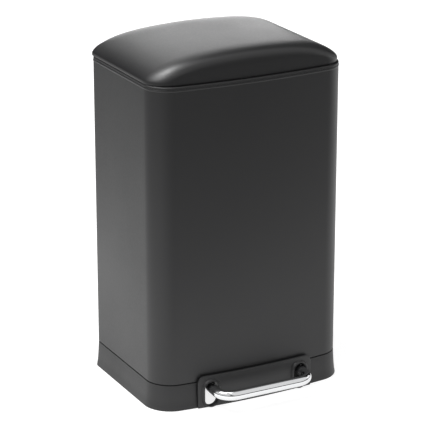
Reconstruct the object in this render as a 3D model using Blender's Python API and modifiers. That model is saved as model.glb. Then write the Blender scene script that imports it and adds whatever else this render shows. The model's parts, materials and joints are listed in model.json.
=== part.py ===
"""Pedal trash can: steel sleeve on a moulded base, domed lid, pedal bar, push rod and inner bucket.

Units are metres and +Z is up. The front faces -Y. The origin is on the floor, at the middle of the
whole object's bounding box. Every sub-part is its own closed solid, placed where it sits at rest:
the lid is shut, the pedal is up and the bucket is in.
"""

import math

import bmesh
import bpy
from mathutils import Matrix, Vector

GAP = 0.0003                    # clearance kept between pieces that touch

# Body: a rounded rectangle in plan, with a slightly bowed front
BODY_WIDTH = 0.3556
BODY_DEPTH = 0.2392             # from the front corners' line to the back wall
FRONT_BOW = 0.0131              # how far the middle of the front stands before the corners
FRONT_RADIUS = 0.0380
REAR_RADIUS = 0.0120
LEAST_RADIUS = 0.0020           # for outlines drawn far inside the body's
SLEEVE_WALL = 0.0007
SEAM_Z = 0.0458                 # joint between base and sleeve
RIM_Z = 0.5600                  # top of the moulded rim, just under the lid
RIM_BAND = 0.0042               # visible height of the moulded rim
RIM_LEDGE = 0.0080              # how far the rim reaches inwards

# Pedal: a bent tube through two slots in the front plate
BAR_RADIUS = 0.0085
BAR_REACH = 0.0490              # from the middle of the front to the bar's centre line
BAR_BEND = 0.027
BAR_Z = 0.0330
ARM_X = 0.0850
ARM_Z_AT_FRONT = 0.0337
PIVOT_TO_BAR = 0.121
PIVOT_Z = 0.0380
AXLE_RADIUS = 0.0030

# Lid: domed shell hinged behind the back wall
LID_GAP = 0.0008
LID_SETBACK = 0.0048            # the lid sits this much further back than the body
LID_RISE = 0.0567
LID_SKIRT = 0.0048              # upright edge of the shell before it curves in
LID_WALL = 0.0009
HINGE_BEHIND = 0.0100           # hinge axis behind the back wall
HINGE_BELOW = 0.0110            # hinge axis below the rim's top
KNUCKLE_RADIUS = 0.0070
HINGE_PIN_RADIUS = 0.0025

# Opening mechanism
CRANK_RADIUS = 0.0240
LID_OPEN = math.radians(75)
CRANK_START = LID_OPEN / 2      # the crank starts this far under the horizontal
HOUSING_BEHIND = 0.0200         # how far the hinge housing stands behind the back wall
ROD_WIDTH = 0.0080
ROD_THICKNESS = 0.0030
LEVER_END_Z = 0.0160
FOOT_HALF = 0.0035              # half the depth of the rod's foot and of the lever's tip

# Bucket
BUCKET_TOP_Z = 0.5360
BUCKET_HALF_WIDTH = 0.1600
BUCKET_TAPER = 0.0100
BUCKET_WALL = 0.0020
BAIL_RADIUS = 0.0020
BAIL_GRIP_RADIUS = 0.0045

# Everything below is worked out from the values above
OVERALL_FRONT = -(FRONT_BOW + BAR_REACH + BAR_RADIUS)
OVERALL_BACK = BODY_DEPTH + HOUSING_BEHIND
FRONT_Y = -(OVERALL_FRONT + OVERALL_BACK) / 2      # the line through the front corners
BACK_Y = FRONT_Y + BODY_DEPTH
BAR_Y = FRONT_Y - FRONT_BOW - BAR_REACH
PIVOT_Y = BAR_Y + PIVOT_TO_BAR
HINGE_Y = BACK_Y + HINGE_BEHIND
HINGE_Z = RIM_Z - HINGE_BELOW
CRANK_Y = HINGE_Y - CRANK_RADIUS * math.cos(CRANK_START)
CRANK_Z = HINGE_Z - CRANK_RADIUS * math.sin(CRANK_START)
ROD_Y = HINGE_Y - CRANK_RADIUS * (1 + math.cos(CRANK_START)) / 2
DECK_Z = 0.0540
DECK_THICKNESS = 0.0030
LID_BASE_Z = RIM_Z + LID_GAP

BLACK_PAINT = (0.030, 0.030, 0.032)
BLACK_PLASTIC = (0.028, 0.028, 0.030)
STEEL_GREY = (0.45, 0.46, 0.47)


# ---------------------------------------------------------------- helpers

def clear_scene():
    for item in list(bpy.data.objects):
        bpy.data.objects.remove(item, do_unlink=True)


def new_collection(name):
    collection = bpy.data.collections.new(name)
    bpy.context.scene.collection.children.link(collection)
    return collection


def make_material(name, colour, roughness, metallic=0.0):
    material = bpy.data.materials.new(name)
    material.use_nodes = True
    shader = material.node_tree.nodes["Principled BSDF"]
    shader.inputs["Base Color"].default_value = (*colour, 1.0)
    shader.inputs["Roughness"].default_value = roughness
    shader.inputs["Metallic"].default_value = metallic
    return material


def mesh_object(name, bm, collection, smooth_angle=None):
    """Turn a bmesh into an object with its faces pointing out."""
    bmesh.ops.recalc_face_normals(bm, faces=bm.faces)
    mesh = bpy.data.meshes.new(name)
    bm.to_mesh(mesh)
    bm.free()
    item = bpy.data.objects.new(name, mesh)
    collection.objects.link(item)
    if smooth_angle is not None:
        mesh.shade_smooth()
        mesh.set_sharp_from_angle(angle=math.radians(smooth_angle))
    return item


def finish(item, material, origin=None):
    """Give a piece its material and, for a moving piece, its origin on the joint's axis."""
    item.data.materials.clear()
    item.data.materials.append(material)
    if origin is not None:
        item.data.transform(Matrix.Translation(-Vector(origin)))
        item.location = origin
    return item


def make_cutter(name, bm):
    cutter = mesh_object(name, bm, CUTTERS)
    cutter.display_type = "WIRE"
    cutter.hide_render = True
    return cutter


def boolean(item, other, operation):
    modifier = item.modifiers.new(f"{operation.lower()}_{other.name}", "BOOLEAN")
    modifier.object = other
    modifier.operation = operation
    return modifier


def bevel(item, width, segments=2, angle=30):
    modifier = item.modifiers.new("rounded_edges", "BEVEL")
    modifier.width = width
    modifier.segments = segments
    modifier.limit_method = "ANGLE"
    modifier.angle_limit = math.radians(angle)
    return modifier


def box_bmesh(low, high):
    bm = bmesh.new()
    bmesh.ops.create_cube(bm, size=1.0)
    centre = (Vector(low) + Vector(high)) / 2
    size = Vector(high) - Vector(low)
    bmesh.ops.transform(bm, matrix=Matrix.Translation(centre) @ Matrix.Diagonal((*size, 1.0)),
                        verts=bm.verts)
    return bm


def cylinder_bmesh(start, end, radius, segments=24, end_radius=None):
    """A solid cylinder or cone from start to end."""
    start = Vector(start)
    end = Vector(end)
    bm = bmesh.new()
    bmesh.ops.create_cone(bm, cap_ends=True, segments=segments, radius1=radius,
                          radius2=radius if end_radius is None else end_radius,
                          depth=(end - start).length)
    turn = Vector((0, 0, 1)).rotation_difference(end - start).to_matrix().to_4x4()
    bmesh.ops.transform(bm, matrix=Matrix.Translation((start + end) / 2) @ turn, verts=bm.verts)
    return bm


def arc(centre_x, centre_y, radius, start, end, steps):
    """Points on an arc, with the angles in degrees."""
    points = []
    for step in range(steps + 1):
        angle = math.radians(start + (end - start) * step / steps)
        points.append((centre_x + radius * math.cos(angle), centre_y + radius * math.sin(angle)))
    return points


def front_bow(x):
    """How far the front stands before the line of its corners."""
    return FRONT_BOW * (1 - (2 * x / BODY_WIDTH) ** 2)


def plan_outline(grow=0.0, setback=0.0, corner_steps=7, front_steps=12):
    """The body's plan, counter-clockwise from the front left corner, grown outwards by grow."""
    half = BODY_WIDTH / 2 + grow
    front = FRONT_Y - grow
    back = BACK_Y + grow
    radius_f = max(FRONT_RADIUS + grow, LEAST_RADIUS)
    radius_r = max(REAR_RADIUS + grow, LEAST_RADIUS)
    outline = arc(-half + radius_f, front + radius_f, radius_f, 180, 270, corner_steps)
    left = outline[-1][0]
    for step in range(1, front_steps):
        outline.append((left - 2 * left * step / front_steps, front))
    outline += arc(half - radius_f, front + radius_f, radius_f, 270, 360, corner_steps)
    bowed = [(x, y - front_bow(x)) for x, y in outline]
    bowed[0] = outline[0]
    bowed[-1] = outline[-1]
    bowed += arc(half - radius_r, back - radius_r, radius_r, 0, 90, corner_steps)
    bowed += arc(-half + radius_r, back - radius_r, radius_r, 90, 180, corner_steps)
    return [(x, y + setback) for x, y in bowed]


def prism_bmesh(outline, low, high):
    """A flat-ended solid on a plan outline."""
    bm = bmesh.new()
    bottom = [bm.verts.new((x, y, low)) for x, y in outline]
    face = bm.faces.new(bottom)
    made = bmesh.ops.extrude_face_region(bm, geom=[face])
    raised = [item for item in made["geom"] if isinstance(item, bmesh.types.BMVert)]
    bmesh.ops.translate(bm, vec=(0, 0, high - low), verts=raised)
    return bm


def loop_bmesh(rings, closed):
    """Skin a list of rings of equal length; closed joins the last ring to the first."""
    bm = bmesh.new()
    loops = [[bm.verts.new(point) for point in ring] for ring in rings]
    pairs = list(zip(loops, loops[1:]))
    if closed:
        pairs.append((loops[-1], loops[0]))
    for lower, upper in pairs:
        for index in range(len(lower)):
            after = (index + 1) % len(lower)
            bm.faces.new((lower[index], lower[after], upper[after], upper[index]))
    if not closed:
        bm.faces.new(loops[0])
        bm.faces.new(loops[-1])
    return bm


def plan_ring(grow, z, setback=0.0):
    return [(x, y, z) for x, y in plan_outline(grow, setback)]


def obround(half_width, low, high, steps=8):
    """An upright slot's outline in X and Z, centred on x = 0."""
    top = arc(0, high - half_width, half_width, 0, 180, steps)
    bottom = arc(0, low + half_width, half_width, 180, 360, steps)
    return top + bottom


def upright_prism_bmesh(outline, x, front, back):
    """A solid on an outline in X and Z, shifted to x and running along Y."""
    bm = bmesh.new()
    near = [bm.verts.new((x + px, front, pz)) for px, pz in outline]
    face = bm.faces.new(near)
    made = bmesh.ops.extrude_face_region(bm, geom=[face])
    moved = [item for item in made["geom"] if isinstance(item, bmesh.types.BMVert)]
    bmesh.ops.translate(bm, vec=(0, back - front, 0), verts=moved)
    return bm


def side_prism_bmesh(outline, left, right):
    """A solid on an outline in Y and Z, running along X."""
    bm = bmesh.new()
    near = [bm.verts.new((left, py, pz)) for py, pz in outline]
    face = bm.faces.new(near)
    made = bmesh.ops.extrude_face_region(bm, geom=[face])
    moved = [item for item in made["geom"] if isinstance(item, bmesh.types.BMVert)]
    bmesh.ops.translate(bm, vec=(right - left, 0, 0), verts=moved)
    return bm


def tube_object(name, points, radius, collection, resolution=2):
    """A round wire or tube along points, as a closed mesh."""
    curve = bpy.data.curves.new(name, "CURVE")
    curve.dimensions = "3D"
    curve.bevel_depth = radius
    curve.bevel_resolution = resolution
    curve.use_fill_caps = True
    spline = curve.splines.new("POLY")
    spline.points.add(len(points) - 1)
    for target, point in zip(spline.points, points):
        target.co = (*point, 1.0)
    guide = bpy.data.objects.new(f"{name}_path", curve)
    collection.objects.link(guide)
    bpy.context.view_layer.update()
    evaluated = guide.evaluated_get(bpy.context.evaluated_depsgraph_get())
    mesh = bpy.data.meshes.new_from_object(evaluated)
    bm = bmesh.new()
    bm.from_mesh(mesh)
    bmesh.ops.remove_doubles(bm, verts=bm.verts, dist=0.00001)
    bmesh.ops.transform(bm, matrix=guide.matrix_world, verts=bm.verts)
    bpy.data.objects.remove(guide, do_unlink=True)
    return mesh_object(name, bm, collection, smooth_angle=40)


# ---------------------------------------------------------------- base

SLOT_HALF_WIDTH = 0.0115
SLOT_LOW_Z = 0.0035
SLOT_HIGH_Z = 0.0455
SKIRT_WALL = 0.0030
SKIRT_FLARE = 0.0042
SKIRT_LOW_Z = 0.0010
DECK_LIP = 0.0015               # how far the deck's lip reaches down into the skirt
FOOT_HEIGHT = 0.0042
FOOT_RADIUS = 0.0090
POST_HALF = 0.0110
POST_X = 0.1450
POST_FRONT_Y = FRONT_Y + 0.034
POST_REAR_Y = BACK_Y - 0.036


def make_base_skirt():
    """Moulded ring, flared towards the floor, with a clearance opening behind each slot."""
    rings = [plan_ring(SKIRT_FLARE, SKIRT_LOW_Z),
             plan_ring(SKIRT_FLARE * 0.45, SKIRT_LOW_Z + 0.014),
             plan_ring(0.0, SEAM_Z - GAP),
             plan_ring(-SKIRT_WALL, SEAM_Z - GAP),
             plan_ring(SKIRT_FLARE - SKIRT_WALL, SKIRT_LOW_Z)]
    skirt = mesh_object("base_skirt", loop_bmesh(rings, closed=True), PARTS)
    opening = obround(SLOT_HALF_WIDTH + 0.001, SLOT_LOW_Z - 0.001, SLOT_HIGH_Z + 0.0005)
    for side, x in (("left", -ARM_X), ("right", ARM_X)):
        cut = upright_prism_bmesh(opening, x, FRONT_Y - 0.03, FRONT_Y + 0.02)
        boolean(skirt, make_cutter(f"skirt_opening_{side}", cut), "DIFFERENCE")
    return finish(skirt, PLASTIC)


def make_base_deck():
    """Floor plate inside the sleeve, with a lip that sits in the skirt and four corner posts."""
    inner = -(SLEEVE_WALL + 2 * GAP)
    lip = -(SKIRT_WALL + GAP)
    rings = [plan_ring(lip, SEAM_Z - DECK_LIP),
             plan_ring(lip, SEAM_Z),
             plan_ring(inner, SEAM_Z + 0.003),
             plan_ring(inner, DECK_Z + DECK_THICKNESS),
             plan_ring(-0.030, DECK_Z + DECK_THICKNESS),
             plan_ring(-0.030, DECK_Z),
             plan_ring(lip - 0.0025, DECK_Z),
             plan_ring(lip - 0.0025, SEAM_Z - DECK_LIP)]
    deck = mesh_object("base_deck", loop_bmesh(rings, closed=True), PARTS)
    panel = prism_bmesh(plan_outline(-0.028), DECK_Z, DECK_Z + DECK_THICKNESS)
    boolean(deck, make_cutter("deck_panel", panel), "UNION")
    for front in (True, False):
        for side in (-1, 1):
            y = POST_FRONT_Y if front else POST_REAR_Y
            x = side * POST_X
            post = box_bmesh((x - POST_HALF, y - POST_HALF, FOOT_HEIGHT + GAP),
                             (x + POST_HALF, y + POST_HALF, DECK_Z + DECK_THICKNESS / 2))
            boolean(deck, make_cutter(f"post_{front}_{side}", post), "UNION")
    rod_hole = box_bmesh((-0.009, ROD_Y - 0.007, DECK_Z - 0.004), (0.009, ROD_Y + 0.007, DECK_Z + 0.008))
    boolean(deck, make_cutter("deck_rod_hole", rod_hole), "DIFFERENCE")
    return finish(deck, PLASTIC)


def make_feet():
    for end, y in (("front", POST_FRONT_Y), ("rear", POST_REAR_Y)):
        for side, x in (("left", -POST_X), ("right", POST_X)):
            foot = mesh_object(f"foot_{end}_{side}",
                               cylinder_bmesh((x, y, 0), (x, y, FOOT_HEIGHT), FOOT_RADIUS - 0.001,
                                              end_radius=FOOT_RADIUS),
                               PARTS, smooth_angle=40)
            finish(foot, RUBBER)


PLATE_HALF_WIDTH = 0.1085
PLATE_HIGH_Z = 0.0571
PLATE_LOW_Z = 0.0024
PLATE_CORNER = 0.012
PLATE_THICKNESS = 0.0030
COLLAR_HALF_WIDTH = 0.0160
COLLAR_PROUD = 0.0022


def make_pedal_plate():
    """Moulded plate that follows the bowed front, with a raised collar round each slot."""
    steps = 16
    back = SKIRT_FLARE + GAP
    plate = bmesh.new()
    rows = []
    for level in (PLATE_LOW_Z, PLATE_HIGH_Z):
        for depth in (back, back + PLATE_THICKNESS):
            row = []
            for step in range(steps + 1):
                x = -PLATE_HALF_WIDTH + 2 * PLATE_HALF_WIDTH * step / steps
                row.append(plate.verts.new((x, FRONT_Y - front_bow(x) - depth, level)))
            rows.append(row)
    low_back, low_front, high_back, high_front = rows
    for step in range(steps):
        after = step + 1
        plate.faces.new((low_back[step], low_back[after], low_front[after], low_front[step]))
        plate.faces.new((high_back[step], high_front[step], high_front[after], high_back[after]))
        plate.faces.new((low_front[step], low_front[after], high_front[after], high_front[step]))
        plate.faces.new((low_back[step], high_back[step], high_back[after], low_back[after]))
    for end in (0, steps):
        plate.faces.new((low_back[end], low_front[end], high_front[end], high_back[end]))
    item = mesh_object("pedal_plate", plate, PARTS)
    frame = arc(PLATE_HALF_WIDTH - PLATE_CORNER, PLATE_HIGH_Z - PLATE_CORNER, PLATE_CORNER, 0, 90, 6)
    frame += arc(-PLATE_HALF_WIDTH + PLATE_CORNER, PLATE_HIGH_Z - PLATE_CORNER, PLATE_CORNER, 90, 180, 6)
    frame += [(-PLATE_HALF_WIDTH, PLATE_LOW_Z - 0.001), (PLATE_HALF_WIDTH, PLATE_LOW_Z - 0.001)]
    trim = upright_prism_bmesh(frame, 0.0, FRONT_Y - 0.04, FRONT_Y + 0.02)
    boolean(item, make_cutter("plate_trim", trim), "INTERSECT")
    for side, x in (("left", -ARM_X), ("right", ARM_X)):
        face_y = FRONT_Y - front_bow(ARM_X) - back
        ring = obround(COLLAR_HALF_WIDTH, 0.0012, SLOT_HIGH_Z + 0.0035)
        collar = upright_prism_bmesh(ring, x, face_y - PLATE_THICKNESS - COLLAR_PROUD,
                                     face_y - PLATE_THICKNESS / 2)
        boolean(item, make_cutter(f"collar_{side}", collar), "UNION")
    for side, x in (("left", -ARM_X), ("right", ARM_X)):
        slot = obround(SLOT_HALF_WIDTH, SLOT_LOW_Z, SLOT_HIGH_Z)
        cut = upright_prism_bmesh(slot, x, FRONT_Y - 0.05, FRONT_Y + 0.02)
        boolean(item, make_cutter(f"plate_slot_{side}", cut), "DIFFERENCE")
    return finish(item, PLASTIC)


# ---------------------------------------------------------------- sleeve and rim

def make_outer_body():
    """Painted steel sleeve, open at both ends."""
    low = SEAM_Z + GAP
    high = RIM_Z - RIM_BAND - GAP
    rings = [plan_ring(0.0, low), plan_ring(0.0, high), plan_ring(-SLEEVE_WALL, high),
             plan_ring(-SLEEVE_WALL, low)]
    return finish(mesh_object("outer_body", loop_bmesh(rings, closed=True), PARTS, 30), PAINT)


def make_top_rim():
    """Moulded rim: a band on the sleeve's edge, a ledge inwards and a leg down inside the sleeve."""
    inside = -(SLEEVE_WALL + GAP)
    leg = 0.0020
    low = RIM_Z - RIM_BAND
    edge = 0.0008
    rings = [plan_ring(0.0, low), plan_ring(0.0, RIM_Z - edge), plan_ring(-edge, RIM_Z),
             plan_ring(-RIM_LEDGE, RIM_Z), plan_ring(-RIM_LEDGE, RIM_Z - 0.0025),
             plan_ring(inside - leg, RIM_Z - 0.0040), plan_ring(inside - leg, RIM_Z - 0.016),
             plan_ring(inside, RIM_Z - 0.016), plan_ring(inside, low)]
    rim = mesh_object("top_rim", loop_bmesh(rings, closed=True), PARTS)
    notch = box_bmesh((-0.050, ROD_Y - 0.020, RIM_Z - 0.030),
                      (0.050, BACK_Y - SLEEVE_WALL, RIM_Z + 0.010))
    boolean(rim, make_cutter("rim_notch", notch), "DIFFERENCE")
    return finish(rim, PLASTIC)


# ---------------------------------------------------------------- mechanism inside the body

CHANNEL_WALL = 0.0012
CHANNEL_HALF_WIDTH = 0.0110
CHANNEL_DEPTH = 0.0200
CHANNEL_HIGH_Z = CRANK_Z - 0.030


def make_rod_channel():
    """Sheet channel on the back wall that the push rod runs in, open towards the wall."""
    wall = BACK_Y - SLEEVE_WALL - GAP
    front = wall - CHANNEL_DEPTH
    low = DECK_Z + DECK_THICKNESS + GAP
    half = CHANNEL_HALF_WIDTH
    outline = [(-half - 0.008, wall), (-half - 0.008, wall - CHANNEL_WALL), (-half, wall - CHANNEL_WALL),
               (-half, front), (half, front), (half, wall - CHANNEL_WALL),
               (half + 0.008, wall - CHANNEL_WALL), (half + 0.008, wall),
               (half - CHANNEL_WALL, wall), (half - CHANNEL_WALL, front + CHANNEL_WALL),
               (-half + CHANNEL_WALL, front + CHANNEL_WALL), (-half + CHANNEL_WALL, wall)]
    channel = mesh_object("rod_channel", prism_bmesh(outline, low, CHANNEL_HIGH_Z), PARTS)
    return finish(channel, STEEL)


def make_pedal_axle():
    reach = BRACKET_X + BRACKET_HALF + 0.003
    axle = mesh_object("pedal_axle",
                       cylinder_bmesh((-reach, PIVOT_Y, PIVOT_Z), (reach, PIVOT_Y, PIVOT_Z), AXLE_RADIUS, 16),
                       PARTS, smooth_angle=40)
    return finish(axle, STEEL)


BRACKET_X = 0.1080
BRACKET_HALF = 0.0020
BRACKET_REACH = 0.0090


def make_axle_brackets():
    """Two steel plates under the deck, each with a hole for the axle and a flange on top."""
    for side, x in (("left", -BRACKET_X), ("right", BRACKET_X)):
        top = DECK_Z - GAP
        cheek = arc(PIVOT_Y, PIVOT_Z, BRACKET_REACH, 180, 360, 10)
        cheek += [(PIVOT_Y + BRACKET_REACH, top), (PIVOT_Y - BRACKET_REACH, top)]
        bracket = mesh_object(f"axle_bracket_{side}",
                              side_prism_bmesh(cheek, x - BRACKET_HALF, x + BRACKET_HALF), PARTS)
        flange = box_bmesh((x - 0.008, PIVOT_Y - 0.014, top - 0.0025), (x + 0.008, PIVOT_Y + 0.014, top))
        boolean(bracket, make_cutter(f"bracket_flange_{side}", flange), "UNION")
        hole = cylinder_bmesh((x - 0.01, PIVOT_Y, PIVOT_Z), (x + 0.01, PIVOT_Y, PIVOT_Z),
                              AXLE_RADIUS + GAP, 16)
        boolean(bracket, make_cutter(f"bracket_hole_{side}", hole), "DIFFERENCE")
        finish(bracket, STEEL)


LEVER_HALF_WIDTH = 0.0960
LEVER_THICKNESS = 0.0040
BARREL_RADIUS = 0.0075
SOCKET_RADIUS = 0.0110
SOCKET_LENGTH = 0.0160
TUBE_END_Y = PIVOT_Y - 0.0140
PEDAL_ORIGIN = (0.0, PIVOT_Y, PIVOT_Z)


def arm_z(y):
    """Height of the tube's centre line, which slopes down towards the bar."""
    front = FRONT_Y - front_bow(ARM_X)
    slope = (ARM_Z_AT_FRONT - BAR_Z) / (front - BAR_Y)
    return BAR_Z + slope * (y - BAR_Y)


def make_pedal_bar():
    """Chromed tube: two arms and a cross bar, joined by round bends."""
    half = ARM_X
    points = [(-half, TUBE_END_Y), (-half, BAR_Y + BAR_BEND + 0.030)]
    points += arc(-half + BAR_BEND, BAR_Y + BAR_BEND, BAR_BEND, 180, 270, 8)
    points += arc(half - BAR_BEND, BAR_Y + BAR_BEND, BAR_BEND, 270, 360, 8)
    points += [(half, BAR_Y + BAR_BEND + 0.030), (half, TUBE_END_Y)]
    path = [(x, y, arm_z(y)) for x, y in points]
    bar = tube_object("pedal_bar", path, BAR_RADIUS, PARTS, resolution=3)
    return finish(bar, CHROME, PEDAL_ORIGIN)


def make_pedal_lever():
    """Cross plate on the axle, a socket for each end of the bar and an arm back to the push rod."""
    barrel = cylinder_bmesh((-LEVER_HALF_WIDTH, PIVOT_Y, PIVOT_Z), (LEVER_HALF_WIDTH, PIVOT_Y, PIVOT_Z),
                            BARREL_RADIUS, 20)
    lever = mesh_object("pedal_lever", barrel, PARTS)
    end_y = ROD_Y + FOOT_HALF
    top = LEVER_END_Z + LEVER_THICKNESS
    arm = side_prism_bmesh([(PIVOT_Y, PIVOT_Z - LEVER_THICKNESS / 2), (ROD_Y - 0.012, LEVER_END_Z),
                            (end_y, LEVER_END_Z), (end_y, top), (ROD_Y - 0.012, top),
                            (PIVOT_Y, PIVOT_Z + LEVER_THICKNESS / 2)], -0.012, 0.012)
    boolean(lever, make_cutter("lever_arm", arm), "UNION")
    for side, x in (("left", -ARM_X), ("right", ARM_X)):
        start = Vector((x, PIVOT_Y - 0.002, arm_z(PIVOT_Y - 0.002)))
        finish_y = TUBE_END_Y - SOCKET_LENGTH
        socket = cylinder_bmesh(start, (x, finish_y, arm_z(finish_y)), SOCKET_RADIUS, 20)
        boolean(lever, make_cutter(f"socket_{side}", socket), "UNION")
    for side, x in (("left", -ARM_X), ("right", ARM_X)):
        inner_y = TUBE_END_Y + 2 * GAP
        finish_y = TUBE_END_Y - SOCKET_LENGTH - 0.004
        cavity = cylinder_bmesh((x, inner_y, arm_z(inner_y)), (x, finish_y, arm_z(finish_y)),
                                BAR_RADIUS + GAP, 20)
        boolean(lever, make_cutter(f"socket_cavity_{side}", cavity), "DIFFERENCE")
    bore = cylinder_bmesh((-0.12, PIVOT_Y, PIVOT_Z), (0.12, PIVOT_Y, PIVOT_Z), AXLE_RADIUS + GAP, 16)
    boolean(lever, make_cutter("lever_bore", bore), "DIFFERENCE")
    return finish(lever, STEEL, PEDAL_ORIGIN)


HEAD_SLOT_HALF = CRANK_RADIUS * (1 - math.cos(CRANK_START)) / 2
CRANK_PIN_RADIUS = 0.0020
SLOT_CLEARANCE = 0.0008


def make_push_rod():
    """Flat rod: a foot that stands on the lever's tongue and a head with a level slot."""
    foot_z = LEVER_END_Z + LEVER_THICKNESS + 2 * GAP
    head_half = HEAD_SLOT_HALF + CRANK_PIN_RADIUS + SLOT_CLEARANCE + 0.0022
    head_high = CRANK_PIN_RADIUS + SLOT_CLEARANCE + 0.0022
    half = ROD_THICKNESS / 2
    outline = [(ROD_Y - FOOT_HALF, foot_z), (ROD_Y + FOOT_HALF, foot_z),
               (ROD_Y + FOOT_HALF, foot_z + 0.012), (ROD_Y + ROD_WIDTH / 2, foot_z + 0.013),
               (ROD_Y + ROD_WIDTH / 2, CRANK_Z - head_high - 0.004),
               (ROD_Y + head_half, CRANK_Z - head_high), (ROD_Y + head_half, CRANK_Z + head_high),
               (ROD_Y - head_half, CRANK_Z + head_high), (ROD_Y - head_half, CRANK_Z - head_high),
               (ROD_Y - ROD_WIDTH / 2, CRANK_Z - head_high - 0.004),
               (ROD_Y - ROD_WIDTH / 2, foot_z + 0.013), (ROD_Y - FOOT_HALF, foot_z + 0.012)]
    rod = mesh_object("push_rod", side_prism_bmesh(outline, -half, half), PARTS)
    foot = box_bmesh((-0.0065, ROD_Y - FOOT_HALF, foot_z), (0.0065, ROD_Y + FOOT_HALF, foot_z + 0.003))
    boolean(rod, make_cutter("rod_foot", foot), "UNION")
    slot_radius = CRANK_PIN_RADIUS + SLOT_CLEARANCE
    outline = arc(ROD_Y + HEAD_SLOT_HALF, CRANK_Z, slot_radius, -90, 90, 8)
    outline += arc(ROD_Y - HEAD_SLOT_HALF, CRANK_Z, slot_radius, 90, 270, 8)
    boolean(rod, make_cutter("rod_head_slot", side_prism_bmesh(outline, -0.01, 0.01)), "DIFFERENCE")
    return finish(rod, STEEL)


# ---------------------------------------------------------------- hinge

HOUSING_HALF_WIDTH = 0.0560
CHEEK_X = 0.0460
HOUSING_LOW_Z = HINGE_Z - 0.046
SCREW_RADIUS = 0.0035


def make_hinge_housing():
    """Block behind the back wall: a plate, and a cheek at each end that holds the hinge pin."""
    near = BACK_Y + GAP
    deep = 0.0080
    plate = box_bmesh((-HOUSING_HALF_WIDTH, near, HOUSING_LOW_Z),
                      (HOUSING_HALF_WIDTH, near + deep, HINGE_Z - KNUCKLE_RADIUS - 0.004))
    housing = mesh_object("hinge_housing", plate, PARTS)
    bevel(housing, 0.002, 2)
    for side in (-1, 1):
        cheek = [(near + 0.0004, HINGE_Z - 0.030), (near + deep - 0.0006, HINGE_Z - 0.030)]
        cheek += arc(HINGE_Y, HINGE_Z, HOUSING_BEHIND - HINGE_BEHIND, -20, 90, 8)
        cheek += [(near + 0.0004, HINGE_Z + HOUSING_BEHIND - HINGE_BEHIND)]
        low, high = sorted((side * CHEEK_X, side * (HOUSING_HALF_WIDTH - 0.0007)))
        block = side_prism_bmesh(cheek, low, high)
        boolean(housing, make_cutter(f"housing_cheek_{side}", block), "UNION")
    bore = cylinder_bmesh((-0.08, HINGE_Y, HINGE_Z), (0.08, HINGE_Y, HINGE_Z), HINGE_PIN_RADIUS + GAP, 16)
    boolean(housing, make_cutter("housing_bore", bore), "DIFFERENCE")
    finish(housing, PLASTIC)
    number = 1
    for x in (-0.036, 0.036):
        for z in (HINGE_Z - 0.022, HINGE_Z - 0.036):
            screw = mesh_object(f"hinge_screw_{number}",
                                cylinder_bmesh((x, near + deep + GAP, z), (x, near + deep + 0.002, z),
                                               SCREW_RADIUS, 16, end_radius=SCREW_RADIUS * 0.7),
                                PARTS, smooth_angle=40)
            finish(screw, STEEL)
            number += 1


def make_hinge_pin():
    half = HOUSING_HALF_WIDTH - 0.001
    pin = mesh_object("hinge_pin",
                      cylinder_bmesh((-half, HINGE_Y, HINGE_Z), (half, HINGE_Y, HINGE_Z),
                                     HINGE_PIN_RADIUS, 16), PARTS, smooth_angle=40)
    return finish(pin, STEEL)


# ---------------------------------------------------------------- lid

LID_ORIGIN = (0.0, HINGE_Y, HINGE_Z)
SIDE_POWER = 1.82               # roundness of the lid's arch from side to side
SIDE_ROOT = 1.41
FRONT_ROLL = 0.0664             # how far back the front edge rolls over
FRONT_POWER = 3.60
REAR_ROLL = 0.0656
REAR_POWER = 2.82
ROLL_RISE = 0.0541
BLEND = 0.0299                  # softness of the crease between the arch and the rolls


def soft_min(a, b):
    """The smaller of two heights, rounded over where they meet, less so low down."""
    softness = min(BLEND, 0.6 * (a + b) + 0.0001)
    share = min(max(0.5 + 0.5 * (b - a) / softness, 0.0), 1.0)
    return b * (1 - share) + a * share - softness * share * (1 - share)


def roll_height(distance, length, power):
    """Height of a rolled edge at a distance in from the edge."""
    if distance >= length:
        return ROLL_RISE
    return ROLL_RISE * (1 - (1 - max(distance, 0.0) / length) ** power) ** (1 / power)


def corner_cut(across, radius, half):
    """How far a rounded corner takes the edge in, at a distance across from the middle."""
    past = min(max(abs(across) - (half - radius), 0.0), radius)
    return radius - math.sqrt(radius * radius - past * past)


def lid_height(x, y):
    """Height of the dome above its lower edge: a side-to-side arch, rolled over at front and rear.

    Each distance is measured from the rounded plan outline, so the dome comes down to the same
    level all the way round.
    """
    half = BODY_WIDTH / 2
    depth = y - FRONT_Y - LID_SETBACK
    bowed_depth = depth + front_bow(x)
    from_front = bowed_depth - corner_cut(x, FRONT_RADIUS, half)
    from_rear = BODY_DEPTH - depth - corner_cut(x, REAR_RADIUS, half)
    half_depth = BODY_DEPTH / 2
    side_cut = max(corner_cut(min(bowed_depth - half_depth, 0.0), FRONT_RADIUS, half_depth),
                   corner_cut(max(depth - half_depth, 0.0), REAR_RADIUS, half_depth))
    from_side = half - abs(x) - side_cut
    side = 1 - min(max(from_side / half, 0.0), 1.0)
    arch = (LID_RISE - LID_SKIRT) * (1 - side ** SIDE_POWER) ** (1 / SIDE_ROOT)
    height = soft_min(arch, roll_height(from_front, FRONT_ROLL, FRONT_POWER))
    height = soft_min(height, roll_height(from_rear, REAR_ROLL, REAR_POWER))
    return LID_SKIRT + max(height, 0.0)


LINER_INSET = 0.0020
LINER_Z = LID_BASE_Z + 0.0028
LINER_SHEET = 0.0020
LINER_LEDGE = 0.0070
LINER_RAISE = 0.0100
KNUCKLE_HALF_WIDTH = 0.0440


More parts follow.
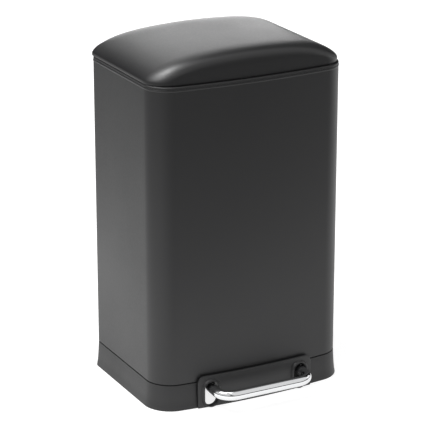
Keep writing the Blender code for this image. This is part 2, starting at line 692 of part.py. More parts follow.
def make_lid_shell():
    """Pressed dome: an upright edge that follows the body's plan, then the crowned top."""
    outline = plan_outline(0.0, LID_SETBACK)
    centre_y = (FRONT_Y + BACK_Y) / 2 + LID_SETBACK
    bm = bmesh.new()
    rings = [[bm.verts.new((x, y, LID_BASE_Z)) for x, y in outline]]
    for scale in (1.0, 0.995, 0.98, 0.955, 0.92, 0.875, 0.82, 0.74, 0.62, 0.46, 0.24):
        ring = []
        for x, y in outline:
            px = x * scale
            py = centre_y + (y - centre_y) * scale
            ring.append(bm.verts.new((px, py, LID_BASE_Z + lid_height(px, py))))
        rings.append(ring)
    for lower, upper in zip(rings, rings[1:]):
        for index in range(len(lower)):
            after = (index + 1) % len(lower)
            bm.faces.new((lower[index], lower[after], upper[after], upper[index]))
    crown = bm.verts.new((0.0, centre_y, LID_BASE_Z + lid_height(0.0, centre_y)))
    last = rings[-1]
    for index in range(len(last)):
        bm.faces.new((last[index], last[(index + 1) % len(last)], crown))
    shell = mesh_object("lid_shell", bm, PARTS, smooth_angle=40)
    thickness = shell.modifiers.new("sheet", "SOLIDIFY")
    thickness.thickness = LID_WALL
    thickness.offset = -1.0
    notch = box_bmesh((-KNUCKLE_HALF_WIDTH - 0.001, BACK_Y - 0.002, LID_BASE_Z - 0.01),
                      (KNUCKLE_HALF_WIDTH + 0.001, BACK_Y + 0.02, LINER_Z))
    boolean(shell, make_cutter("shell_notch", notch), "DIFFERENCE")
    return finish(shell, PAINT, LID_ORIGIN)


def make_lid_liner():
    """Moulded inner panel: a flat ledge over the rim, and a raised middle over the bucket."""
    edge = -(LINER_INSET)
    step = edge - LINER_LEDGE
    slope = step - 0.004
    rings = [plan_ring(edge, LINER_Z, LID_SETBACK), plan_ring(edge, LINER_Z + LINER_SHEET, LID_SETBACK),
             plan_ring(step, LINER_Z + LINER_SHEET, LID_SETBACK),
             plan_ring(slope, LINER_Z + LINER_SHEET + LINER_RAISE, LID_SETBACK)]
    under = [plan_ring(edge, LINER_Z, LID_SETBACK), plan_ring(step - 0.0015, LINER_Z, LID_SETBACK),
             plan_ring(slope - 0.0015, LINER_Z + LINER_RAISE, LID_SETBACK)]
    bm = bmesh.new()
    outer = [[bm.verts.new(point) for point in ring] for ring in rings]
    inner = [outer[0]] + [[bm.verts.new(point) for point in ring] for ring in under[1:]]
    for stack in (outer, inner):
        for lower, upper in zip(stack, stack[1:]):
            for index in range(len(lower)):
                after = (index + 1) % len(lower)
                bm.faces.new((lower[index], lower[after], upper[after], upper[index]))
    bm.faces.new(outer[-1])
    bm.faces.new(inner[-1])
    liner = mesh_object("lid_liner", bm, PARTS)
    return finish(liner, PLASTIC, LID_ORIGIN)


def make_lid_hinge_arm():
    """Knuckle round the hinge pin, with a strap that goes up and forward under the lid."""
    strap_low = LID_BASE_Z + 0.0002
    strap_high = LINER_Z - GAP
    inner_y = BACK_Y - 0.0200
    profile = arc(HINGE_Y, HINGE_Z, KNUCKLE_RADIUS, -200, 20, 14)
    profile += [(HINGE_Y + KNUCKLE_RADIUS * 0.5, HINGE_Z + KNUCKLE_RADIUS),
                (HINGE_Y - 0.0080, strap_high), (inner_y, strap_high), (inner_y, strap_low),
                (HINGE_Y - 0.0095, strap_low)]
    arm = mesh_object("lid_hinge_arm", side_prism_bmesh(profile, -KNUCKLE_HALF_WIDTH, KNUCKLE_HALF_WIDTH),
                      PARTS)
    bore = cylinder_bmesh((-0.08, HINGE_Y, HINGE_Z), (0.08, HINGE_Y, HINGE_Z), HINGE_PIN_RADIUS + GAP, 16)
    boolean(arm, make_cutter("knuckle_bore", bore), "DIFFERENCE")
    return finish(arm, STEEL, LID_ORIGIN)


def make_lid_crank():
    """Fork under the lid's rear edge that carries the crank pin."""
    high = LID_BASE_Z + 0.0002 - GAP
    low_y = BACK_Y - 0.0195
    back_y = BACK_Y - 0.0080
    bridge = box_bmesh((-0.0075, low_y, high - 0.0020), (0.0075, back_y, high))
    crank = mesh_object("lid_crank", bridge, PARTS)
    for side in (-1, 1):
        ear = arc(CRANK_Y, CRANK_Z, 0.0045, 180, 360, 8)
        ear += [(back_y, high - 0.001), (low_y, high - 0.001)]
        low, high_x = sorted((side * 0.0030, side * 0.0060))
        boolean(crank, make_cutter(f"crank_ear_{side}", side_prism_bmesh(ear, low, high_x)), "UNION")
    hole = cylinder_bmesh((-0.02, CRANK_Y, CRANK_Z), (0.02, CRANK_Y, CRANK_Z), CRANK_PIN_RADIUS + GAP, 16)
    boolean(crank, make_cutter("crank_hole", hole), "DIFFERENCE")
    finish(crank, STEEL, LID_ORIGIN)
    pin = mesh_object("crank_pin",
                      cylinder_bmesh((-0.0072, CRANK_Y, CRANK_Z), (0.0072, CRANK_Y, CRANK_Z),
                                     CRANK_PIN_RADIUS, 16), PARTS, smooth_angle=40)
    return finish(pin, STEEL, LID_ORIGIN)


def make_lid_bumpers():
    for side, x in (("left", -0.115), ("right", 0.115)):
        y = FRONT_Y - front_bow(x) + 0.0095
        bumper = mesh_object(f"lid_bumper_{side}",
                             cylinder_bmesh((x, y, RIM_Z + GAP), (x, y, LINER_Z - GAP), 0.0030, 16),
                             PARTS, smooth_angle=40)
        finish(bumper, RUBBER, LID_ORIGIN)


# ---------------------------------------------------------------- bucket

BUCKET_FRONT_Y = FRONT_Y + 0.0120
BUCKET_BACK_Y = BACK_Y - 0.0300
BUCKET_LOW_Z = DECK_Z + DECK_THICKNESS + GAP
BUCKET_CORNER = 0.030
LIP_WIDTH = 0.0045
FLOOR_CHAMFER = 0.0080
BAIL_Y = (BUCKET_FRONT_Y + BUCKET_BACK_Y) / 2
BAIL_Z = BUCKET_TOP_Z + BAIL_RADIUS + GAP
BAIL_ORIGIN = (0.0, BAIL_Y, BAIL_Z)


def bucket_ring(grow, z):
    half = BUCKET_HALF_WIDTH + grow
    front = BUCKET_FRONT_Y - grow
    back = BUCKET_BACK_Y + grow
    radius = BUCKET_CORNER + grow
    outline = arc(-half + radius, front + radius, radius, 180, 270, 6)
    outline += arc(half - radius, front + radius, radius, 270, 360, 6)
    outline += arc(half - radius, back - radius, radius, 0, 90, 6)
    outline += arc(-half + radius, back - radius, radius, 90, 180, 6)
    return [(x, y, z) for x, y in outline]


def make_bucket():
    """Tapered open bucket with a turned-out lip and a bail bearing on each side."""
    lip_low = BUCKET_TOP_Z - 0.0025
    bm = bmesh.new()
    outside = [bucket_ring(-BUCKET_TAPER - FLOOR_CHAMFER, BUCKET_LOW_Z),
               bucket_ring(-BUCKET_TAPER, BUCKET_LOW_Z + FLOOR_CHAMFER), bucket_ring(0.0, lip_low),
               bucket_ring(LIP_WIDTH, lip_low), bucket_ring(LIP_WIDTH, BUCKET_TOP_Z)]
    inner = -BUCKET_TAPER - BUCKET_WALL
    inside = [bucket_ring(-BUCKET_WALL, BUCKET_TOP_Z),
              bucket_ring(inner, BUCKET_LOW_Z + BUCKET_WALL + FLOOR_CHAMFER),
              bucket_ring(inner - FLOOR_CHAMFER, BUCKET_LOW_Z + BUCKET_WALL)]
    loops = [[bm.verts.new(point) for point in ring] for ring in outside + inside]
    for lower, upper in zip(loops, loops[1:]):
        for index in range(len(lower)):
            after = (index + 1) % len(lower)
            bm.faces.new((lower[index], lower[after], upper[after], upper[index]))
    bm.faces.new(loops[0])
    bm.faces.new(loops[-1])
    bucket = mesh_object("bucket", bm, PARTS, smooth_angle=30)
    return finish(bucket, BUCKET_PLASTIC)


def make_bail():
    """Wire handle that lies on the bucket's lip, with a moulded grip at its middle."""
    half = BUCKET_HALF_WIDTH + LIP_WIDTH - BAIL_RADIUS - 0.0005
    far = BUCKET_BACK_Y - BUCKET_WALL - BAIL_GRIP_RADIUS - 0.001
    bend = 0.032
    points = [(-half, BAIL_Y), (-half, far - bend)]
    points += arc(-half + bend, far - bend, bend, 180, 90, 6)[1:]
    points += arc(half - bend, far - bend, bend, 90, 0, 6)
    points += [(half, BAIL_Y)]
    wire = tube_object("bail_wire", [(x, y, BAIL_Z) for x, y in points], BAIL_RADIUS, PARTS)
    finish(wire, STEEL, BAIL_ORIGIN)
    grip_bm = cylinder_bmesh((-0.045, far, BAIL_Z), (0.045, far, BAIL_Z), BAIL_GRIP_RADIUS, 16)
    grip = mesh_object("bail_grip", grip_bm, PARTS, smooth_angle=40)
    hole = cylinder_bmesh((-0.06, far, BAIL_Z), (0.06, far, BAIL_Z), BAIL_RADIUS + GAP, 12)
    boolean(grip, make_cutter("grip_hole", hole), "DIFFERENCE")
    return finish(grip, BUCKET_PLASTIC, BAIL_ORIGIN)


# ---------------------------------------------------------------- build

clear_scene()
PARTS = new_collection("pedal_trash_can")
CUTTERS = new_collection("cutters")
PAINT = make_material("black_paint", BLACK_PAINT, 0.45)
PLASTIC = make_material("black_plastic", BLACK_PLASTIC, 0.50)
RUBBER = make_material("rubber", (0.02, 0.02, 0.02), 0.80)
STEEL = make_material("zinc_steel", STEEL_GREY, 0.40, 1.0)
CHROME = make_material("chrome", (0.85, 0.86, 0.87), 0.08, 1.0)
BUCKET_PLASTIC = make_material("bucket_plastic", (0.05, 0.05, 0.055), 0.55)

make_base_skirt()
make_base_deck()
make_feet()
make_pedal_plate()
make_outer_body()
make_top_rim()
make_rod_channel()
make_axle_brackets()
make_pedal_axle()
make_pedal_bar()
make_pedal_lever()
make_push_rod()
make_hinge_housing()
make_hinge_pin()
make_lid_shell()
make_lid_liner()
make_lid_hinge_arm()
make_lid_crank()
make_lid_bumpers()
make_bucket()
make_bail()
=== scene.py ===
"""Looks for the pedal trash can: camera, light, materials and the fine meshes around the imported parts."""

import json
import math

import bmesh
import bpy
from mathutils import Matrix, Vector


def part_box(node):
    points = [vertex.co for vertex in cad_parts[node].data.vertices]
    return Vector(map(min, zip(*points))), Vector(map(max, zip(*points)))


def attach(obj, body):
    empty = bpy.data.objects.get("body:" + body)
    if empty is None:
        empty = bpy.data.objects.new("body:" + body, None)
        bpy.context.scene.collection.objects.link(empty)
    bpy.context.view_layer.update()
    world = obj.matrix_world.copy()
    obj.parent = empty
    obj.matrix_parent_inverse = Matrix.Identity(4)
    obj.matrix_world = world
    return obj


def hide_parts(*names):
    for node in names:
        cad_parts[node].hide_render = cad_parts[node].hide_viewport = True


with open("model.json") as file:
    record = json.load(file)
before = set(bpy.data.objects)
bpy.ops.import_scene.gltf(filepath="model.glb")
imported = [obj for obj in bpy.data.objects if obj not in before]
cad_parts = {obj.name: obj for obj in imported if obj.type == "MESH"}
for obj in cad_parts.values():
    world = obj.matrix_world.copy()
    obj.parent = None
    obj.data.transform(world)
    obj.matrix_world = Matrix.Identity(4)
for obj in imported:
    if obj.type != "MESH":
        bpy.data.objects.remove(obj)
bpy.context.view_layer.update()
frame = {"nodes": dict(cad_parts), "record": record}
NODES = frame["nodes"]
SLOTS = {part["node"]: part["material_slot"] for part in frame["record"]["subparts"]}

# ---------------------------------------------------------------- sizes, as the CAD has them

# The LIFT, DROP and BEAD values, and the slot collars further down, are where the looks leave the CAD.

BODY_LOW, BODY_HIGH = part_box("outer_body")
BODY_HALF = BODY_HIGH[0]
FRONT_BOW = 0.0131
FRONT_Y = BODY_LOW[1] + FRONT_BOW
BACK_Y = BODY_HIGH[1]
BODY_DEPTH = BACK_Y - FRONT_Y
MIDDLE_Y = (FRONT_Y + BACK_Y) / 2
FRONT_RADIUS = 0.038
REAR_RADIUS = 0.012
LEAST_RADIUS = 0.002
SLEEVE_WALL = 0.0007
SLEEVE_LIFT = 0.0006
SLEEVE_BEAD = 0.0005
SKIRT_LOW, SKIRT_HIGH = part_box("base_skirt")
SKIRT_FLARE = SKIRT_HIGH[0] - BODY_HALF
SKIRT_WALL = 0.0030
SKIRT_DROP = 0.0007
RIM_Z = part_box("top_rim")[1][2]
RIM_BAND = 0.0042
RIM_LEDGE = 0.0080
GAP = 0.0003

LID_BASE_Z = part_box("lid_shell")[0][2]
LID_SETBACK = 0.0048
LID_RISE = 0.0567
LID_SKIRT = 0.0048
LID_WALL = 0.0009
SIDE_POWER = 1.82
SIDE_ROOT = 1.41
FRONT_ROLL = 0.0664
FRONT_POWER = 3.60
REAR_ROLL = 0.0656
REAR_POWER = 2.82
ROLL_RISE = 0.0541
BLEND = 0.0299
LINER_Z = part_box("lid_liner")[0][2]

PLATE_LOW, PLATE_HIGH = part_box("pedal_plate")
PLATE_HALF = PLATE_HIGH[0]
PLATE_BACK = SKIRT_FLARE + GAP
PLATE_THICKNESS = 0.0030
PLATE_CORNER = 0.012
PLATE_DROP = 0.0009
PLATE_EDGE = 0.0014
PLATE_LOW_CORNER = 0.001
ARM_X = 0.0850
SLOT_HALF = 0.0115
SLOT_LOW_Z = 0.0035
SLOT_HIGH_Z = 0.0455

BAR_LOW, BAR_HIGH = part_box("pedal_bar")
BAR_RADIUS = 0.0085
BAR_BEND = 0.027
BAR_Y = BAR_LOW[1] + BAR_RADIUS
BAR_LIFT = 0.0008
# BAR_LOW is the faceted CAD tube's lowest point, a little above a round tube's, so this raises the bar more.
BAR_Z = BAR_LOW[2] + BAR_RADIUS + BAR_LIFT
ARM_Z_AT_FRONT = 0.0337

# ---------------------------------------------------------------- mesh helpers


def arc(cx, cy, radius, start, end, steps):
    points = []
    for step in range(steps + 1):
        angle = math.radians(start + (end - start) * step / steps)
        points.append((cx + radius * math.cos(angle), cy + radius * math.sin(angle)))
    return points


def front_bow(x):
    return FRONT_BOW * (1 - (x / BODY_HALF) ** 2)


def straight(start, end, steps):
    """Points strictly between two plan points."""
    return [(start[0] + (end[0] - start[0]) * step / steps, start[1] + (end[1] - start[1]) * step / steps)
            for step in range(1, steps)]


def plan_outline(grow=0.0, setback=0.0):
    """The body's plan, counter-clockwise from the front left corner, grown outwards by grow."""
    half = BODY_HALF + grow
    front = FRONT_Y - grow
    back = BACK_Y + grow
    radius_f = max(FRONT_RADIUS + grow, LEAST_RADIUS)
    radius_r = max(REAR_RADIUS + grow, LEAST_RADIUS)
    outline = arc(-half + radius_f, front + radius_f, radius_f, 180, 270, 20)
    left = outline[-1][0]
    outline += straight((left, front), (-left, front), 44)
    outline += arc(half - radius_f, front + radius_f, radius_f, 270, 360, 20)
    bowed = [(x, y - front_bow(x)) for x, y in outline]
    bowed[0] = outline[0]
    bowed[-1] = outline[-1]
    right = arc(half - radius_r, back - radius_r, radius_r, 0, 90, 20)
    rear = arc(-half + radius_r, back - radius_r, radius_r, 90, 180, 20)
    bowed += straight(bowed[-1], right[0], 24) + right
    bowed += straight(right[-1], rear[0], 36) + rear
    bowed += straight(rear[-1], bowed[0], 24)
    return [(x, y + setback) for x, y in bowed]


def plan_ring(grow, z, setback=0.0):
    return [(x, y, z) for x, y in plan_outline(grow, setback)]


def skin(bm, loops):
    for lower, upper in zip(loops, loops[1:]):
        for index in range(len(lower)):
            after = (index + 1) % len(lower)
            bm.faces.new((lower[index], lower[after], upper[after], upper[index]))


def loft(rings, closed=False, cap_start=False, cap_end=False):
    """Skins rings of equal length; closed joins the last ring to the first."""
    bm = bmesh.new()
    loops = [[bm.verts.new(point) for point in ring] for ring in rings]
    skin(bm, loops + [loops[0]] if closed else loops)
    if cap_start:
        bm.faces.new(loops[0])
    if cap_end:
        bm.faces.new(loops[-1])
    bmesh.ops.recalc_face_normals(bm, faces=bm.faces)
    return bm


def rounded_profile(corners):
    """A closed profile of (offset, height, radius) corners, with each corner rounded in 4 steps."""
    points = []
    count = len(corners)
    for index, (offset, height, radius) in enumerate(corners):
        here = Vector((offset, height))
        before = Vector(corners[index - 1][:2]) - here
        after = Vector(corners[(index + 1) % count][:2]) - here
        cut = min(radius, before.length * 0.49, after.length * 0.49)
        if cut < 0.00005:
            points.append(here)
            continue
        start = here + before.normalized() * cut
        end = here + after.normalized() * cut
        for step in range(5):
            t = step / 4
            points.append(start * (1 - t) ** 2 + here * 2 * t * (1 - t) + end * t ** 2)
    return points


def plan_loft(corners):
    """A closed profile swept round the body's plan."""
    return loft([plan_ring(p.x, p.y) for p in rounded_profile(corners)], closed=True)


def scratch_object(bm, name="scratch"):
    mesh = bpy.data.meshes.new(name)
    bm.to_mesh(mesh)
    bm.free()
    item = bpy.data.objects.new(name, mesh)
    bpy.context.scene.collection.objects.link(item)
    return item


def combined(target, others, operation):
    """Booleans every scratch object of others into target, for good."""
    for other in others:
        modifier = target.modifiers.new("combine", "BOOLEAN")
        modifier.operation = operation
        modifier.solver = "EXACT"
        modifier.object = other
    bpy.context.view_layer.update()
    result = bpy.data.meshes.new_from_object(target.evaluated_get(bpy.context.evaluated_depsgraph_get()))
    target.modifiers.clear()
    old = target.data
    target.data = result
    bpy.data.meshes.remove(old)
    for other in others:
        mesh = other.data
        bpy.data.objects.remove(other)
        bpy.data.meshes.remove(mesh)


def box_bmesh(low, high):
    bm = bmesh.new()
    bmesh.ops.create_cube(bm, size=1)
    for vert in bm.verts:
        for axis in range(3):
            vert.co[axis] = low[axis] if vert.co[axis] < 0 else high[axis]
    return bm


def lathe(profile, centre, axis, segments):
    """Turns (radius, height) points round the Y or Z axis through centre."""
    rings = []
    for radius, height in profile:
        ring = []
        for step in range(segments):
            angle = 2 * math.pi * step / segments
            across, along = radius * math.cos(angle), radius * math.sin(angle)
            offset = {"Z": (across, along, height), "Y": (across, height, along)}[axis]
            ring.append(tuple(c + o for c, o in zip(centre, offset)))
        rings.append(ring)
    return loft(rings, cap_start=True, cap_end=True)


def tube(path, radius, segments):
    """A round tube along points that turn smoothly."""
    points = [Vector(point) for point in path]
    side = None
    rings = []
    for index, point in enumerate(points):
        ahead = points[min(index + 1, len(points) - 1)] - points[max(index - 1, 0)]
        ahead.normalize()
        if side is None:
            side = ahead.cross(Vector((0, 0, 1))).normalized()
        side = (side - ahead * side.dot(ahead)).normalized()
        up = side.cross(ahead)
        rings.append([point + (side * math.cos(a) + up * math.sin(a)) * radius
                      for a in (2 * math.pi * step / segments for step in range(segments))])
    return loft(rings, cap_start=True, cap_end=True)


def smoothed(item, degrees):
    item.data.shade_smooth()
    item.data.set_sharp_from_angle(angle=math.radians(degrees))


def bevelled(item, width):
    modifier = item.modifiers.new("edge", "BEVEL")
    modifier.width = width
    modifier.segments = 2
    modifier.limit_method = "ANGLE"
    modifier.angle_limit = math.radians(40)
    modifier.harden_normals = True


def piece(item, name, body, node, degrees):
    """Names a new piece, gives it its node's body and material slot, and stands it for that node."""
    item.name = name
    item.data.name = name
    smoothed(item, degrees)
    item.data.materials.clear()
    item.data.materials.append(MATERIALS[SLOTS[node]])
    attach(item, body)
    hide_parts(node)


# ---------------------------------------------------------------- materials


class Surface:
    """A Principled material with a few lines of procedural detail in object space."""

    def __init__(self, name, colour, roughness, metallic=0.0, specular=0.5):
        self.material = bpy.data.materials.new(name)
        self.material.use_nodes = True
        self.tree = self.material.node_tree
        self.shader = self.tree.nodes["Principled BSDF"]
        self.shader.inputs["Base Color"].default_value = (*colour, 1)
        self.shader.inputs["Roughness"].default_value = roughness
        self.shader.inputs["Metallic"].default_value = metallic
        self.shader.inputs["Specular IOR Level"].default_value = specular
        self.colour = colour
        self.place = self.tree.nodes.new("ShaderNodeTexCoord").outputs["Object"]
        self.bump_end = None

    def stretched(self, scale):
        mapping = self.tree.nodes.new("ShaderNodeMapping")
        mapping.inputs["Scale"].default_value = scale
        self.tree.links.new(self.place, mapping.inputs["Vector"])
        return mapping.outputs["Vector"]

    def noise(self, scale, detail, stretch=None):
        node = self.tree.nodes.new("ShaderNodeTexNoise")
        node.inputs["Scale"].default_value = scale
        node.inputs["Detail"].default_value = detail
        node.inputs["Roughness"].default_value = 0.55
        self.tree.links.new(self.stretched(stretch) if stretch else self.place, node.inputs["Vector"])
        return node.outputs["Fac"]

    def cells(self, scale):
        node = self.tree.nodes.new("ShaderNodeTexVoronoi")
        node.inputs["Scale"].default_value = scale
        self.tree.links.new(self.place, node.inputs["Vector"])
        return node.outputs["Distance"], node.outputs["Color"]

    def ramp(self, value, low, high, start, end):
        node = self.tree.nodes.new("ShaderNodeMapRange")
        node.interpolation_type = "SMOOTHSTEP"
        for name, number in (("From Min", low), ("From Max", high), ("To Min", start), ("To Max", end)):
            node.inputs[name].default_value = number
        self.tree.links.new(value, node.inputs["Value"])
        return node.outputs["Result"]

    def calc(self, operation, first, second):
        node = self.tree.nodes.new("ShaderNodeMath")
        node.operation = operation
        for index, value in enumerate((first, second)):
            if isinstance(value, (int, float)):
                node.inputs[index].default_value = value
            else:
                self.tree.links.new(value, node.inputs[index])
        return node.outputs["Value"]

    def bump(self, height, distance):
        node = self.tree.nodes.new("ShaderNodeBump")
        node.inputs["Distance"].default_value = distance
        node.inputs["Strength"].default_value = 1.0
        self.tree.links.new(height, node.inputs["Height"])
        if self.bump_end is not None:
            self.tree.links.new(self.bump_end, node.inputs["Normal"])
        self.bump_end = node.outputs["Normal"]
        self.tree.links.new(self.bump_end, self.shader.inputs["Normal"])

    def vary_roughness(self, value, low, high):
        self.tree.links.new(self.ramp(value, 0.3, 0.7, low, high), self.shader.inputs["Roughness"])

    def vary_colour(self, factor, other):
        node = self.tree.nodes.new("ShaderNodeMix")
        node.data_type = "RGBA"
        node.inputs["A"].default_value = (*self.colour, 1)
        node.inputs["B"].default_value = (*other, 1)
        self.tree.links.new(factor, node.inputs["Factor"])
        self.tree.links.new(node.outputs["Result"], self.shader.inputs["Base Color"])

    def edges(self):
        node = self.tree.nodes.new("ShaderNodeNewGeometry")
        return self.ramp(node.outputs["Pointiness"], 0.51, 0.60, 0.0, 1.0)


def powder_coat(name, colour, roughness):
    """Fine orange peel, slow drift in gloss, a little handling haze and rubbed edges."""
    s = Surface(name, colour, roughness)
    s.bump(s.noise(650, 2.0), 0.00006)
    s.bump(s.noise(2600, 2.0), 0.00002)
    haze = s.calc("ADD", s.calc("MULTIPLY", s.noise(5.0, 4.0), 0.6),
                  s.calc("MULTIPLY", s.noise(300, 3.0), 0.4))
    s.vary_roughness(haze, roughness - 0.035, roughness + 0.045)
    rubbed = s.calc("MULTIPLY", s.edges(), s.ramp(s.noise(90, 5.0), 0.45, 0.70, 0.0, 0.5))
    s.vary_colour(rubbed, [c * 2.6 + 0.01 for c in colour])
    return s.material


def moulded(name, colour, roughness, grain, depth):
    """Moulded plastic: an even spark-eroded grain, faint flow marks and slightly polished edges."""
    s = Surface(name, colour, roughness)
    distance, _ = s.cells(grain)
    s.bump(distance, depth)
    s.bump(s.noise(grain * 0.35, 3.0), depth * 1.4)
    flow = s.noise(9.0, 4.0, stretch=(1.0, 1.0, 0.25))
    s.vary_roughness(s.calc("ADD", s.calc("MULTIPLY", flow, 0.7),
                            s.calc("MULTIPLY", s.noise(420, 2.0), 0.3)), roughness - 0.05, roughness + 0.06)
    scuff = s.calc("MULTIPLY", s.edges(), s.ramp(s.noise(140, 5.0), 0.45, 0.72, 0.0, 0.55))
    s.vary_colour(scuff, [c * 2.4 + 0.012 for c in colour])
    return s.material


def zinc(name, colour, roughness):
    """Zinc-plated steel: faint crystal patches, rolling lines and dull spots."""
    s = Surface(name, colour, roughness, metallic=1.0)
    _, tint = s.cells(260)
    patch = s.tree.nodes.new("ShaderNodeRGBToBW")
    s.tree.links.new(tint, patch.inputs["Color"])
    rolled = s.noise(120, 3.0, stretch=(1.0, 12.0, 12.0))
    s.bump(rolled, 0.00003)
    mixed = s.calc("ADD", s.calc("MULTIPLY", patch.outputs["Val"], 0.35), s.calc("MULTIPLY", rolled, 0.65))
    s.vary_roughness(mixed, roughness - 0.07, roughness + 0.12)
    s.vary_colour(s.ramp(s.noise(45, 5.0), 0.5, 0.75, 0.0, 0.7), [c * 0.62 for c in colour])
    return s.material


def chrome_plate(name, colour, roughness):
    """Bright plating with hair scratches along the tube and fine fingertip haze."""
    s = Surface(name, colour, roughness, metallic=1.0)
    s.bump(s.noise(700, 2.0, stretch=(0.08, 1.0, 1.0)), 0.0000025)
    haze = s.calc("ADD", s.calc("MULTIPLY", s.noise(18, 5.0), 0.7),
                  s.calc("MULTIPLY", s.noise(900, 2.0), 0.3))
    s.vary_roughness(haze, roughness, roughness + 0.05)
    s.vary_colour(s.ramp(s.noise(60, 4.0), 0.55, 0.8, 0.0, 0.5), [c * 0.9 for c in colour])
    return s.material


def rubber(name, colour, roughness):
    s = Surface(name, colour, roughness, specular=0.3)
    s.bump(s.noise(1500, 4.0), 0.00008)
    s.vary_roughness(s.noise(120, 4.0), roughness - 0.08, roughness + 0.08)
    s.vary_colour(s.ramp(s.noise(200, 5.0), 0.5, 0.7, 0.0, 0.6), [c * 2.2 for c in colour])
    return s.material


MATERIALS = {
    "body_paint": powder_coat("body_paint", (0.0150, 0.0150, 0.0156), 0.44),
    "lid_paint": powder_coat("lid_paint", (0.0150, 0.0150, 0.0156), 0.40),
    "base_plastic": moulded("base_plastic", (0.0165, 0.0165, 0.0170), 0.48, 1500, 0.00003),
    "plate_plastic": moulded("plate_plastic", (0.0150, 0.0150, 0.0156), 0.44, 2100, 0.00002),
    "rim_plastic": moulded("rim_plastic", (0.0170, 0.0170, 0.0175), 0.46, 2000, 0.00002),
    "housing_plastic": moulded("housing_plastic", (0.0165, 0.0165, 0.0170), 0.50, 1300, 0.00004),
    "liner_plastic": moulded("liner_plastic", (0.022, 0.022, 0.0228), 0.50, 1200, 0.00004),
    "bucket_plastic": moulded("bucket_plastic", (0.030, 0.030, 0.0315), 0.42, 900, 0.00004),
    "rubber": rubber("rubber", (0.014, 0.014, 0.014), 0.78),
    "zinc_steel": zinc("zinc_steel", (0.60, 0.61, 0.62), 0.36),
    "lever_steel": zinc("lever_steel", (0.50, 0.51, 0.52), 0.42),
    "bar_chrome": chrome_plate("bar_chrome", (0.79, 0.795, 0.805), 0.05),
}

# ---------------------------------------------------------------- lid


def soft_min(a, b):
    softness = min(BLEND, 0.6 * (a + b) + 0.0001)
    share = min(max(0.5 + 0.5 * (b - a) / softness, 0.0), 1.0)
    return b * (1 - share) + a * share - softness * share * (1 - share)


def roll_height(distance, length, power):
    if distance >= length:
        return ROLL_RISE
    return ROLL_RISE * (1 - (1 - max(distance, 0.0) / length) ** power) ** (1 / power)


def corner_cut(across, radius, half):
    past = min(max(abs(across) - (half - radius), 0.0), radius)
    return radius - math.sqrt(radius * radius - past * past)


def lid_height(x, y):
    """Height of the dome above its lower edge, from the distances to the rounded plan outline."""
    depth = y - FRONT_Y - LID_SETBACK
    bowed_depth = depth + front_bow(x)
    from_front = bowed_depth - corner_cut(x, FRONT_RADIUS, BODY_HALF)
    from_rear = BODY_DEPTH - depth - corner_cut(x, REAR_RADIUS, BODY_HALF)
    half_depth = BODY_DEPTH / 2
    side_cut = max(corner_cut(min(bowed_depth - half_depth, 0.0), FRONT_RADIUS, half_depth),
                   corner_cut(max(depth - half_depth, 0.0), REAR_RADIUS, half_depth))
    from_side = BODY_HALF - abs(x) - side_cut
    side = 1 - min(max(from_side / BODY_HALF, 0.0), 1.0)
    arch = (LID_RISE - LID_SKIRT) * (1 - side ** SIDE_POWER) ** (1 / SIDE_ROOT)
    height = soft_min(arch, roll_height(from_front, FRONT_ROLL, FRONT_POWER))
    height = soft_min(height, roll_height(from_rear, REAR_ROLL, REAR_POWER))
    return LID_SKIRT + max(height, 0.0)


def dome_rings(rings):
    """Rings of the dome's outer face, from the edge to near the crown."""
    outline = plan_outline(0.0, LID_SETBACK)
    centre = MIDDLE_Y + LID_SETBACK
    made = []
    for index in range(rings):
        scale = 1 - (index / rings) ** 1.7
        made.append([(x * scale, centre + (y - centre) * scale) for x, y in outline])
    return made


def make_lid():
    """Pressed sheet dome: hemmed lower edge, upright band, then the crowned top."""
    hem = 0.0006
    plan = dome_rings(44)
    outer = [[(x, y, LID_BASE_Z + lid_height(x, y)) for x, y in ring] for ring in plan]
    thin = (BODY_HALF - LID_WALL) / BODY_HALF
    centre = MIDDLE_Y + LID_SETBACK
    inner = [[(x * thin, centre + (y - centre) * thin, z - LID_WALL) for x, y, z in ring] for ring in outer]
    low = [plan_ring(-LID_WALL, LID_BASE_Z + LID_WALL * 0.8, LID_SETBACK),
           plan_ring(-LID_WALL * 0.8, LID_BASE_Z, LID_SETBACK),
           plan_ring(-hem * 0.5, LID_BASE_Z, LID_SETBACK), plan_ring(0.0, LID_BASE_Z + hem, LID_SETBACK),
           plan_ring(0.0, LID_BASE_Z + LID_SKIRT * 0.6, LID_SETBACK)]
    shell = scratch_object(loft(inner[::-1] + low + outer, cap_start=True, cap_end=True))
    notch = scratch_object(box_bmesh((-0.045, BACK_Y - 0.002, LID_BASE_Z - 0.01),
                                     (0.045, BACK_Y + 0.02, LINER_Z)))
    combined(shell, [notch], "DIFFERENCE")
    piece(shell, "lid_dome", "lid", "lid_shell", 50)


